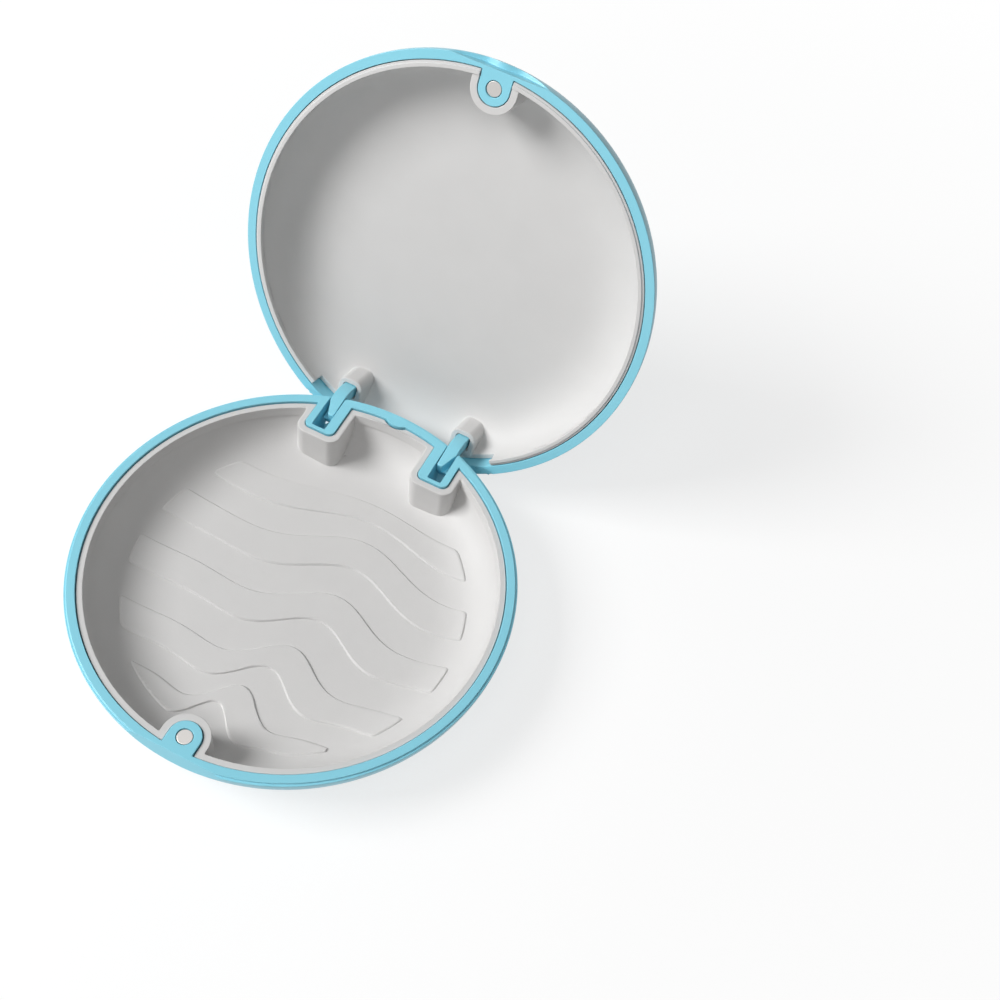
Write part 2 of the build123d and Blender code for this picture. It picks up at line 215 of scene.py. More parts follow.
def fromBmesh(name, form):
    bmesh.ops.recalc_face_normals(form, faces=form.faces)
    mesh = bpy.data.meshes.new(name)
    form.to_mesh(mesh)
    form.free()
    return newPiece(name, mesh)


def applyModifiers(piece):
    graph = bpy.context.evaluated_depsgraph_get()
    mesh = bpy.data.meshes.new_from_object(piece.evaluated_get(graph))
    piece.modifiers.clear()
    piece.data = mesh
    return piece


def disc(radius, low, high, y=0.0, topRadius=None, segments=None):
    form = bmesh.new()
    bmesh.ops.create_cone(
        form, cap_ends=True, segments=segments or case["segments"], radius1=radius,
        radius2=topRadius or radius, depth=high - low)
    bmesh.ops.translate(form, verts=form.verts, vec=(0, y, (low + high) / 2))
    return fromBmesh("disc", form)


def rounded(corners):
    # Outline from corners of (a, b, radius, steps), each corner with its own round.
    points = []
    for i, (a, b, radius, steps) in enumerate(corners):
        here = Vector((a, b))
        if not radius:
            points.append(here)
            continue
        before = (Vector(corners[i - 1][:2]) - here).normalized()
        after = (Vector(corners[(i + 1) % len(corners)][:2]) - here).normalized()
        half = before.angle(after) / 2
        start = here + before * radius / math.tan(half)
        middle = here + (before + after).normalized() * radius / math.sin(half)
        spoke = start - middle
        end = here + after * radius / math.tan(half) - middle
        turn = spoke.angle_signed(end)
        for step in range(steps + 1):
            points.append(middle + Matrix.Rotation(-turn * step / steps, 2) @ spoke)
    return points


def prism(points, low, high, along="Z"):
    # Outline in X and Y raised along Z, or in Y and Z drawn out along X, or X and Z along Y.
    order = {"Z": (0, 1, 2), "X": (2, 0, 1), "Y": (0, 2, 1)}[along]
    form = bmesh.new()
    ends = []
    for level in (low, high):
        ring = []
        for point in points:
            flat = (point[0], point[1], level)
            ring.append(form.verts.new([flat[order[axis]] for axis in range(3)]))
        ends.append(ring)
    form.faces.new(ends[0])
    form.faces.new(ends[1])
    for i in range(len(points)):
        j = (i + 1) % len(points)
        form.faces.new((ends[0][i], ends[0][j], ends[1][j], ends[1][i]))
    return fromBmesh("prism", form)


def box(xLow, xHigh, yLow, yHigh, zLow, zHigh):
    return prism([(xLow, yLow), (xHigh, yLow), (xHigh, yHigh), (xLow, yHigh)], zLow, zHigh)


def column(xLow, xHigh, front, back, low, high, corner):
    # Upright column with its two front edges rounded.
    steps = case["cornerSteps"]
    outline = [
        (xLow, front, corner, steps), (xHigh, front, corner, steps), (xHigh, back, 0, 0), (xLow, back, 0, 0)]
    return prism(rounded(outline), low, high)


def mirrored(piece):
    copy = newPiece(piece.name, piece.data.copy())
    copy.data.transform(mirrorX)
    copy.data.flip_normals()
    return copy


def combine(piece, operation, *tools):
    for tool in tools:
        change = piece.modifiers.new("cut", "BOOLEAN")
        change.operation = operation
        change.solver = "MANIFOLD"
        change.object = tool
        applyModifiers(piece)
        if not piece.data.polygons:
            raise RuntimeError(f"{operation} left nothing of {piece.name}")
        bpy.data.objects.remove(tool)
    return piece


def cut(piece, *tools):
    return combine(piece, "DIFFERENCE", *tools)


def join(piece, *tools):
    return combine(piece, "UNION", *tools)


def keepInside(piece, *tools):
    return combine(piece, "INTERSECT", *tools)


def bothSides(piece):
    return join(piece, mirrored(piece))


def copyOf(piece):
    return newPiece(piece.name, piece.data.copy())


# A tree whose inputs can be set by name before it first runs
def startTree(name, inputs):
    tree = bpy.data.node_groups.new(name, "GeometryNodeTree")
    tree.interface.new_socket(name="Geometry", in_out="OUTPUT", socket_type="NodeSocketGeometry")
    for label, value in inputs.items():
        kind = "NodeSocketInt" if isinstance(value, int) else "NodeSocketFloat"
        socket = tree.interface.new_socket(name=label, in_out="INPUT", socket_type=kind)
        socket.default_value = value
    tree.interface.new_socket(name="Material", in_out="INPUT", socket_type="NodeSocketMaterial")
    return tree, addNode(tree, "NodeGroupInput").outputs


def endTree(tree, geometry, material):
    real = addNode(tree, "GeometryNodeRealizeInstances", {"Geometry": geometry})
    dressed = addNode(tree, "GeometryNodeSetMaterial", {
        "Geometry": real.outputs["Geometry"], "Material": material})
    addNode(tree, "NodeGroupOutput", {"Geometry": dressed.outputs["Geometry"]})


def runTree(name, tree, material, values):
    piece = newPiece(name, bpy.data.meshes.new(name))
    grow = piece.modifiers.new("grow", "NODES")
    grow.node_group = tree
    sockets = {item.name: item.identifier for item in tree.interface.items_tree if item.in_out == "INPUT"}
    grow[sockets["Material"]] = material
    for label, value in values.items():
        grow[sockets[label]] = value
    applyModifiers(piece)
    form = bmesh.new()
    form.from_mesh(piece.data)
    bmesh.ops.recalc_face_normals(form, faces=form.faces)
    form.to_mesh(piece.data)
    form.free()
    return piece


pebbleInputs = {
    "radius": case["radius"], "flat": case["flat"], "height": case["lidHeight"], "fullness": 2.0,
    "skirt": 1.0, "level": 0.0, "up": 1.0, "segments": case["segments"], "rings": case["rings"],
    "weld": 0.002}


# Half a pebble: a flat crown, a superellipse side down to the rim and a short skirt below.
# The grid's first and last rows close it in the middle.
def pebbleTree():
    tree, given = startTree("pebble", pebbleInputs)
    columns, rows, steps, sideEnd = [
        addNode(tree, mathNode, {0: given[name], 1: more}, operation="ADD").outputs[0]
        for name, more in (("segments", 1.0), ("rings", 4.0), ("rings", 3.0), ("rings", 1.0))]
    grid = addNode(tree, "GeometryNodeMeshGrid", {
        "Size X": 1.0, "Size Y": 1.0, "Vertices X": columns, "Vertices Y": rows}).outputs["Mesh"]
    spot = addNode(tree, "ShaderNodeSeparateXYZ", {
        0: addNode(tree, "GeometryNodeInputPosition").outputs[0]}).outputs
    around = addNode(tree, mathNode, {0: spot["X"], 1: 2 * math.pi}, operation="MULTIPLY").outputs[0]
    share = addNode(tree, mathNode, {0: spot["Y"], 1: 0.5}, operation="ADD").outputs[0]
    row = addNode(tree, mathNode, {0: share, 1: steps}, operation="MULTIPLY").outputs[0]
    turn = addNode(tree, "ShaderNodeMapRange", {
        "Value": row, "From Min": 1.0, "From Max": sideEnd, "To Min": math.pi / 2, "To Max": 0.0}).outputs[0]
    power = addNode(tree, mathNode, {0: 2.0, 1: given["fullness"]}, operation="DIVIDE").outputs[0]
    cosine = addNode(tree, mathNode, {0: turn}, operation="COSINE").outputs[0]
    cosine = addNode(tree, mathNode, {0: cosine, 1: 0.0}, operation="MAXIMUM").outputs[0]
    sine = addNode(tree, mathNode, {0: turn}, operation="SINE").outputs[0]
    out = addNode(tree, mathNode, {0: cosine, 1: power}, operation="POWER").outputs[0]
    upShare = addNode(tree, mathNode, {0: sine, 1: power}, operation="POWER").outputs[0]
    across = addNode(tree, "ShaderNodeMapRange", {
        "Value": out, "To Min": given["flat"], "To Max": given["radius"]}).outputs[0]
    opening = addNode(tree, "ShaderNodeMapRange", {"Value": row}).outputs[0]
    closing = addNode(tree, mathNode, {0: steps, 1: row}, operation="SUBTRACT").outputs[0]
    closing = addNode(tree, "ShaderNodeMapRange", {"Value": closing}).outputs[0]
    across = addNode(tree, mathNode, {0: across, 1: opening}, operation="MULTIPLY").outputs[0]
    across = addNode(tree, mathNode, {0: across, 1: closing}, operation="MULTIPLY").outputs[0]
    crown = addNode(tree, mathNode, {0: upShare, 1: given["height"]}, operation="MULTIPLY").outputs[0]
    below = addNode(tree, mathNode, {0: row, 1: sideEnd}, operation="SUBTRACT").outputs[0]
    below = addNode(tree, "ShaderNodeMapRange", {"Value": below}).outputs[0]
    skirt = addNode(tree, mathNode, {0: below, 1: given["skirt"]}, operation="MULTIPLY").outputs[0]
    height = addNode(tree, mathNode, {0: crown, 1: skirt}, operation="SUBTRACT").outputs[0]
    height = addNode(tree, mathNode, {
        0: height, 1: given["up"], 2: given["level"]}, operation="MULTIPLY_ADD").outputs[0]
    x = addNode(tree, mathNode, {0: around}, operation="COSINE").outputs[0]
    y = addNode(tree, mathNode, {0: around}, operation="SINE").outputs[0]
    x = addNode(tree, mathNode, {0: x, 1: across}, operation="MULTIPLY").outputs[0]
    y = addNode(tree, mathNode, {0: y, 1: across}, operation="MULTIPLY").outputs[0]
    place = addNode(tree, "ShaderNodeCombineXYZ", {"X": x, "Y": y, "Z": height}).outputs[0]
    shaped = addNode(tree, "GeometryNodeSetPosition", {"Geometry": grid, "Position": place}).outputs[0]
    closed = addNode(tree, "GeometryNodeMergeByDistance", {
        "Geometry": shaped, "Distance": given["weld"]}).outputs[0]
    endTree(tree, closed, given["Material"])
    return tree


pebbleShape = pebbleTree()


def pebble(radius, flat, height, fullness, level, up=True, skirt=1.0):
    return runTree("pebble", pebbleShape, bluePlastic, dict(
        pebbleInputs, radius=radius, flat=flat, height=height, fullness=fullness, skirt=skirt,
        level=level, up=1.0 if up else -1.0))


def openLid(piece):
    # Swings a closed piece of the lid to where it rests open.
    pivot = Vector((0, case["hingeY"], case["hingeZ"]))
    swing = Matrix.Rotation(-openTurn, 4, "X")
    piece.data.transform(Matrix.Translation(pivot) @ swing @ Matrix.Translation(-pivot))


mouldFinish = {
    "weld": 0.05,              # mm; nearer points become one before the edges are rounded
    "shortEdge": 0.06,         # mm; shorter ones are taken out
    "flatAngle": 0.1,          # faces that lie nearer to one plane are joined
    "roundAngle": 28,          # sharper edges are rounded
    "roundSegments": 2,
    "foldAngle": 95,           # an edge that is still sharper is a fold
    "foldPasses": 12,
    "foldSmoothing": 0.5,
    "foldWeld": 0.001,         # mm
    "holeSides": 16,           # the most that a hole may have to be closed
    "sharpAngle": 34,          # sharper edges stay sharp to the eye
}


def closeHoles(form):
    bmesh.ops.delete(form, geom=[edge for edge in form.edges if not edge.link_faces], context="EDGES")
    rims = [edge for edge in form.edges if edge.is_boundary]
    bmesh.ops.holes_fill(form, edges=rims, sides=mouldFinish["holeSides"])


def mendFolds(piece):
    # Where two roundings meet in a tight corner a sliver can fold over; it is smoothed out flat.
    form = bmesh.new()
    form.from_mesh(piece.data)
    limit = math.radians(mouldFinish["foldAngle"])
    for _ in range(mouldFinish["foldPasses"]):
        form.normal_update()
        folded = [e for e in form.edges if len(e.link_faces) == 2 and e.calc_face_angle(0) > limit]
        if not folded:
            break
        ends = list({vert for edge in folded for vert in edge.verts})
        bmesh.ops.smooth_vert(
            form, verts=ends, factor=mouldFinish["foldSmoothing"], use_axis_x=True, use_axis_y=True,
            use_axis_z=True)
    bmesh.ops.remove_doubles(form, verts=form.verts, dist=mouldFinish["foldWeld"])
    closeHoles(form)
    form.to_mesh(piece.data)
    form.free()


def softenEdges(piece, width, share=None):
    # Rounds the sharp edges, as a mould does. A share() of 0 to 1 of the width may vary by place.
    form = bmesh.new()
    form.from_mesh(piece.data)
    bmesh.ops.remove_doubles(form, verts=form.verts, dist=mouldFinish["weld"])
    bmesh.ops.dissolve_degenerate(form, edges=form.edges, dist=mouldFinish["shortEdge"])
    bmesh.ops.dissolve_limit(
        form, angle_limit=math.radians(mouldFinish["flatAngle"]), verts=form.verts, edges=form.edges)
    closeHoles(form)
    weight = form.edges.layers.float.new("bevel_weight_edge")
    limit = math.radians(mouldFinish["roundAngle"])
    for edge in form.edges:
        if len(edge.link_faces) != 2 or edge.calc_face_angle(0) < limit:
            continue
        middle = (edge.verts[0].co + edge.verts[1].co) / 2
        edge[weight] = share(middle) if share else 1.0
    form.to_mesh(piece.data)
    form.free()
    bevel = piece.modifiers.new("soften", "BEVEL")
    bevel.width = width
    bevel.segments = mouldFinish["roundSegments"]
    bevel.limit_method = "WEIGHT"
    bevel.use_clamp_overlap = False
    bevel.loop_slide = True
    bevel.miter_outer = "MITER_ARC"
    applyModifiers(piece)
    mendFolds(piece)
    return piece


def finishPiece(piece, name, body, node, material, isLid=False):
    if isLid:
        openLid(piece)
    piece.data.transform(Matrix.Scale(1 / toMm, 4))
    piece.data.materials.clear()
    piece.data.materials.append(material)
    piece.data.polygons.foreach_set("material_index", [0] * len(piece.data.polygons))
    piece.data.shade_smooth()
    piece.data.set_sharp_from_angle(angle=math.radians(mouldFinish["sharpAngle"]))
    even = piece.modifiers.new("even", "WEIGHTED_NORMAL")
    even.keep_sharp = True
    applyModifiers(piece)
    piece.name = name
    piece.data.name = name
    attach(piece, body)
    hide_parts(node)
    print("stage:", name, len(piece.data.polygons), "faces")


# Shared hinge sizes; the arm, its slot and its pocket all follow from them.
hinge = {
    "armSpacing": 27.3,
    "armWidth": 2.7,
    "armDepth": 2.4,
    "armRise": 0.3,            # above the rim at the bend
    "noseSink": 0.25,          # below the rim at the tip
    "noseReach": 2.1,
    "noseUnder": 1.95,
    "noseRound": (0.4, 4),     # radius and steps of a rounded corner
    "noseUnderRound": (0.25, 3),
    "outerBend": (7.0, 12),
    "innerBend": (2.5, 8),
    "knuckle": 1.3,
    "knuckleSegments": 48,
    "taper": 1.6,              # off the outer side of the arm
    "taperStep": 0.15,
    "taperLength": 3.4,
    "taperEnd": 0.4,           # where the taper is full, ahead of the tip
    "legFront": 33.2,          # Y of the closed leg's front
    "legThickness": 2.7,
    "padHeight": 6.6,
    "slotGap": 0.3,
    "sideGap": 0.15,
    "cheekInner": 2.2,
    "cheekOuter": 1.6,
    "frontWall": 0.85,
    "boxCorner": 1.3,
    "sillDrop": 6.0,
    "pinRadius": 0.55,         # of the hole for the pin
    "pinSegments": 32,
    "armEdge": 0.22,           # rounding of an arm's long edges
}
armX = hinge["armSpacing"] / 2
armInnerX = armX - hinge["armWidth"] / 2
armOuterX = armX + hinge["armWidth"] / 2
slotHalf = hinge["armWidth"] / 2 + hinge["sideGap"]
boxInnerX = armX - slotHalf - hinge["cheekInner"]
boxOuterX = armX + slotHalf + hinge["cheekOuter"]
legBack = hinge["legFront"] + hinge["legThickness"]
slotFront = hinge["legFront"] - hinge["slotGap"]
boxFront = slotFront - hinge["frontWall"]
hingeDrop = case["rim"] - case["hingeZ"]
tipTop = hingeDrop - hinge["noseSink"]
bendTop = hingeDrop + hinge["armRise"]
footZ = lidRim + hinge["padHeight"]


def closedPoint(ahead, above):
    # Where a point of the open arm, measured from the pin, lies when the case is closed.
    y = ahead * math.cos(openTurn) - above * math.sin(openTurn)
    z = ahead * math.sin(openTurn) + above * math.cos(openTurn)
    return (case["hingeY"] + y, case["hingeZ"] + z)


def crossing(above, y):
    ahead = (y - case["hingeY"] + above * math.sin(openTurn)) / math.cos(openTurn)
    return closedPoint(ahead, above)


def pinDisc(radius, half, segments):
    # A disc about the hinge's axis, half as wide to each side of the right arm's middle.
    piece = disc(radius, -half, half, segments=segments)
    piece.data.transform(Matrix.Rotation(math.pi / 2, 4, "Y"))
    piece.data.transform(Matrix.Translation((armX, case["hingeY"], case["hingeZ"])))
    return piece


def hingeArm():
    under = bendTop - hinge["armDepth"]
    corners = [
        (hinge["legFront"], footZ, 0, 0),
        (*crossing(bendTop, hinge["legFront"]), *hinge["outerBend"]),
        (*closedPoint(-hinge["noseReach"], tipTop), *hinge["noseRound"]),
        (*closedPoint(-hinge["noseReach"], hinge["noseUnder"]), *hinge["noseUnderRound"]),
        (*closedPoint(-hinge["knuckle"], 0), 0, 0),
        (*closedPoint(0, -hinge["knuckle"]), 0, 0),
        (*closedPoint(hinge["knuckle"], hinge["knuckle"] / 2), 0, 0),
        (*crossing(under, legBack), *hinge["innerBend"]),
        (legBack, footZ, 0, 0),
    ]
    arm = prism(rounded(corners), armInnerX, armOuterX, "X")
    join(arm, pinDisc(hinge["knuckle"], hinge["armWidth"] / 2, hinge["knuckleSegments"]))
    pinHole = pinDisc(hinge["pinRadius"], hinge["armWidth"], hinge["pinSegments"])
    start = hinge["taperLength"] - hinge["noseReach"]
    end = -hinge["noseReach"] - hinge["taperEnd"]
    wedge = prism([
        (armOuterX + past, start), (armOuterX - hinge["taperStep"], start),
        (armOuterX - hinge["taper"], end), (armOuterX + past, end)],
        hinge["knuckle"], hinge["knuckle"] + hingeDrop)
    wedge.data.transform(Matrix.Rotation(openTurn, 4, "X"))
    wedge.data.transform(Matrix.Translation((0, case["hingeY"], case["hingeZ"])))
    cut(arm, pinHole, wedge)
    return softenEdges(arm, hinge["armEdge"])


rightArm = hingeArm()
leftArm = mirrored(rightArm)
finishPiece(rightArm, "gooseneckRight", "lid", "hinge_arm_right", bluePlastic, isLid=True)
finishPiece(leftArm, "gooseneckLeft", "lid", "hinge_arm_left", bluePlastic, isLid=True)


shell = {
    "floor": 1.8,
    "baseRim": 2.2,
    "lidRim": 1.9,
    "baseFullness": 2.1,
    "lidFullness": 2.3,
    "hollowFullness": 2.4,
    "seamDepth": 0.4,
    "seamWidth": 0.5,
    "clipLength": 4.6,
    "clipReach": 0.8,
    "clipHeight": 1.6,
    "clipHalf": 9.0,           # more than half its width where it leaves the wall
    "recessHalf": 10.5,        # thumb recess, half its width
    "recessDrop": 3.2,
    "recessPeak": 2.35,
    "recessPeakAt": 3.6,
    "recessDip": 1.75,
    "recessFall": 1.9,         # power of its fall from a crest to the side
    "recessHollow": 0.12,      # how far that fall sags, as a share
    "recessSteps": 48,
    "postFoot": 0.4,           # where the base's inner posts start above the table
    "postTop": 0.3,            # where the lid's end below its crown
    "barrelGap": 0.3,
    "barrelStations": 96,
    "barrelAround": 128,
}
baseHollowRadius = case["radius"] - shell["baseRim"]
lidHollowRadius = case["radius"] - shell["lidRim"]
lidHollowHeight = case["lidHeight"] - case["seamGap"] - shell["floor"]
recessY = -math.sqrt(case["radius"] ** 2 - shell["recessHalf"] ** 2)

magnet = {
    "radius": 1.5,
    "thickness": 2.0,
    "sink": 0.15,
    "gap": 0.12,               # dark ring round the magnet
    "inset": 4.9,
    "boss": 3.2,
    "linerWall": 1.45,
}
magnetY = magnet["inset"] - case["radius"]


def boss(radius, low, high):
    post = disc(radius, low, high, y=magnetY, segments=case["smallSegments"])
    return join(post, box(-radius, radius, -1.5 * case["radius"], magnetY, low, high))


def boxColumns(grow, back, low, high, corner):
    # The columns of both hinge boxes, grown by so much to the sides and the front.
    return bothSides(column(boxInnerX - grow, boxOuterX + grow, boxFront - grow, back, low, high, corner))


def magnetHole(low, high):
    return disc(
        magnet["radius"] + magnet["gap"], low, high, y=magnetY, segments=case["holeSegments"])


def slotSpace():
    swing = math.hypot(hinge["noseReach"], tipTop) + hinge["slotGap"]
    tipY, tipZ = closedPoint(-hinge["noseReach"], tipTop)
    bendY, bendZ = crossing(bendTop, hinge["legFront"])
    lowY = tipY + 2 * hinge["slotGap"]
    lowZ = tipZ - hinge["slotGap"]
    clear = hinge["slotGap"] / math.sin(openTurn)
    sill = case["rim"] - hinge["sillDrop"]
    behind = case["radius"] + past
    ahead = 20.0               # more than the arc reaches
    outline = [
        (slotFront, case["rim"] + past), (bendY - clear, bendZ), (tipY - clear, tipZ), (tipY, lowZ),
        (lowY, lowZ), (case["hingeY"] + hinge["knuckle"] / 2, sill), (behind, sill),
        (behind, case["rim"] + past)]
    space = prism(outline, armX - slotHalf, armX + slotHalf, "X")
    arc = pinDisc(swing, slotHalf, case["smallSegments"])
    window = box(
        armX - slotHalf - past, armX + slotHalf + past, lowY - ahead, lowY, lowZ, case["hingeZ"])
    return join(space, keepInside(arc, window))


def clipDisc(extra, low, high):
    length = shell["clipLength"]
    reach = shell["clipReach"]
    radius = (length ** 2 / 4 + reach ** 2) / (2 * reach)
    middle = baseHollowRadius - reach + radius
    return disc(radius + extra, low, high, y=middle, segments=case["smallSegments"])


def baseOuter():
    return pebble(
        case["radius"], case["flat"], case["rim"], shell["baseFullness"], case["rim"], up=False, skirt=0.0)


def recessBaseSide():
    share = 1 - (shell["recessDrop"] / case["rim"]) ** shell["baseFullness"]
    lowY = -(case["flat"] + (case["radius"] - case["flat"]) * share ** (1 / shell["baseFullness"]))
    lean = (recessY - lowY) / shell["recessDrop"]
    top = case["rim"] + past
    bottom = case["rim"] - 2 * shell["recessDrop"]
    outline = [
        (recessY + lean, top), (lowY - lean * shell["recessDrop"], bottom),
        (-2 * case["radius"], bottom), (-2 * case["radius"], top)]
    return prism(outline, -2 * shell["recessHalf"], 2 * shell["recessHalf"], "X")


def baseShell():
    piece = cut(
        baseOuter(),
        pebble(baseHollowRadius, case["flat"], case["rim"] - shell["floor"], shell["hollowFullness"],
               case["rim"], up=False))
    rim = case["rim"]
    foot = shell["postFoot"]
    half = shell["clipHalf"]
    inside = boxColumns(0, case["radius"], foot, rim, hinge["boxCorner"])
    join(inside, boss(magnet["boss"], foot, rim))
    clip = keepInside(
        clipDisc(0, rim - shell["clipHeight"], rim),
        box(-half, half, 0, baseHollowRadius + shell["baseRim"] / 2, 0, rim + past))
    join(inside, clip)
    keepInside(inside, baseOuter())
    join(piece, inside)
    cut(piece, bothSides(slotSpace()))
    floor = rim - magnet["sink"] - magnet["thickness"]
    cut(piece, magnetHole(floor, rim + past))
    ring = disc(case["radius"] + past, rim - shell["seamDepth"], rim + past)
    cut(ring, disc(case["radius"] - shell["seamWidth"], 0, rim + 2 * past))
    cut(piece, ring)
    cut(piece, recessBaseSide())
    return piece


def sweepBarrel():
    # Space that the back of the base's rim sweeps about the hinge as the lid opens.
    reach = math.sqrt(case["radius"] ** 2 - case["hingeY"] ** 2) + 2 * past
    form = bmesh.new()
    rings = []
    stations = shell["barrelStations"]
    around = shell["barrelAround"]
    for i in range(stations + 1):
        x = reach * (2 * i / stations - 1)
        behind = max(math.sqrt(case["radius"] ** 2 - x * x) - case["hingeY"], 0)
        radius = math.hypot(behind, hingeDrop + case["seamGap"]) + shell["barrelGap"]
        ring = []
        for j in range(around):
            turn = 2 * math.pi * j / around
            ring.append(form.verts.new((
                x, case["hingeY"] + radius * math.cos(turn), case["hingeZ"] + radius * math.sin(turn))))
        rings.append(ring)
    form.faces.new(rings[0])
    form.faces.new(rings[-1])
    for one, two in zip(rings, rings[1:]):
        for j in range(around):
            k = (j + 1) % around
            form.faces.new((one[j], one[k], two[k], two[j]))
    return fromBmesh("barrel", form)


def lidOuter():
    return pebble(
        case["radius"], case["flat"], case["lidHeight"] - case["seamGap"], shell["lidFullness"], lidRim,
        skirt=0.0)


def recessLidFront():
    # The wavy upper edge of the thumb recess: two crests either side of a shallow dip.
    half = shell["recessHalf"]
    crest = shell["recessPeakAt"]
    points = []
    steps = shell["recessSteps"]
    for i in range(steps + 1):
        x = half * (2 * i / steps - 1)
        away = abs(x)
        if away < crest:
            blend = (1 - math.cos(math.pi * away / crest)) / 2
            z = shell["recessDip"] + (shell["recessPeak"] - shell["recessDip"]) * blend
        else:
            fall = (away - crest) / (half - crest)
            sag = shell["recessHollow"] * math.sin(math.pi * fall)
            z = shell["recessPeak"] * (1 - fall ** shell["recessFall"]) * (1 - sag)
        points.append((x, lidRim + z))
    points += [(half, lidRim - past), (-half, lidRim - past)]
    return prism(points, -2 * case["radius"], recessY, "Y")


def lidShell():
    piece = cut(
        lidOuter(),
        pebble(lidHollowRadius, case["flat"], lidHollowHeight, shell["hollowFullness"], lidRim))
    top = lidTop - shell["postTop"]
    inside = bothSides(box(armInnerX, armOuterX, hinge["legFront"], legBack, footZ, top))
    join(inside, boss(magnet["boss"], lidRim, top))
    keepInside(inside, lidOuter())
    join(piece, inside)
    roof = lidRim + magnet["sink"] + magnet["thickness"]
    cut(piece, magnetHole(lidRim - past, roof))
    cut(piece, recessLidFront())
    cut(piece, sweepBarrel())
    return piece


basePiece = baseShell()
softenEdges(basePiece, case["edge"])
finishPiece(basePiece, "baseShell", "base", "base_shell", bluePlastic)
lidPiece = lidShell()
softenEdges(lidPiece, case["edge"])
finishPiece(lidPiece, "lidShell", "lid", "lid_shell", bluePlastic, isLid=True)


liner = {
    "gap": 0.16,
    "floor": 1.8,
    "wall": 1.0,
    "ring": 1.2,
    "floorRadius": 27.0,
    "hollowFullness": 2.4,
    "ringDrop": 0.45,          # base liner's edge below the rim
    "baseRing": 2.2,           # height of its thicker ring
    "baseDraft": 0.35,
    "lidRing": 1.2,            # the same height on the lid's liner
    "lidRingWidth": 0.8,
    "lip": 0.3,                # how far the lid's liner drops into the base
    "lipRoot": 0.5,            # how far the lip's disc runs up into the liner
    "lipClearance": 0.3,
    "rearCut": 31.0,
    "rearCutHeight": 3.0,
    "pocketWall": 1.4,
    "pocketCorner": 2.4,
    "pocketRound": 0.5,        # of the pocket's upper edge
    "postFoot": 0.3,           # where a wall starts, above the shell's floor
    "postTop": 0.5,            # where a collar ends, below the lid's crown
    "collarWall": 1.1,
    "collarGap": 0.3,
    "collarFront": 0.15,       # the same gap, at the front
    "collarRound": 0.4,
    "collarTop": 1.8,
    "collarCorner": 1.9,
    "clipGap": 0.35,
    "outerBand": (0.6, 1.6),   # where a wall's outer edge is looked for, in wall thicknesses
    "levelBand": 0.1,          # and how near to its level, in mm
    "ribClear": 0.5,           # round the ribs, where no edge is rounded
}
linerRadius = baseHollowRadius - liner["gap"]
linerRingZ = case["rim"] - liner["ringDrop"]
linerDepth = case["rim"] - shell["floor"] - liner["floor"]
linerBoss = magnet["boss"] + liner["gap"]

# Ribs on the base liner's floor. A row is a rib's back and front edge, as shares of the reach.
ribs = {
    "rows": ((0.71, 0.54), (0.37, 0.165), (-0.03, -0.23), (-0.435, -0.615), (-0.77, -0.925)),
    "reach": 34.6,             # radius of the round that the ribs fill
    "rise": 0.38,
    "root": 0.6,               # how far a rib is sunk into the floor
    "draft": 0.32,             # half the width of a rib's sloping side
    "corner": 1.2,
    "waveHeight": 4.9,
    "waveLength": 46.0,
    "growth": 0.8,
    "lean": 0.05,
    "middle": 7.5,
    "drift": 115.0,
    "taper": 1.6,
    "fade": 0.4,
    "span": 1.12,              # a middle rib's half length, squared, in reaches; the round cuts it
    "along": 200,
    "across": 24,
}
ribInputs = {name: value for name, value in ribs.items() if name != "rows"}
ribInputs.update(
    back=0.5, front=0.3, rim=case["rim"], hollowDepth=linerDepth,
    hollowRadius=linerRadius - liner["wall"], floorRadius=liner["floorRadius"],
    fullness=liner["hollowFullness"])


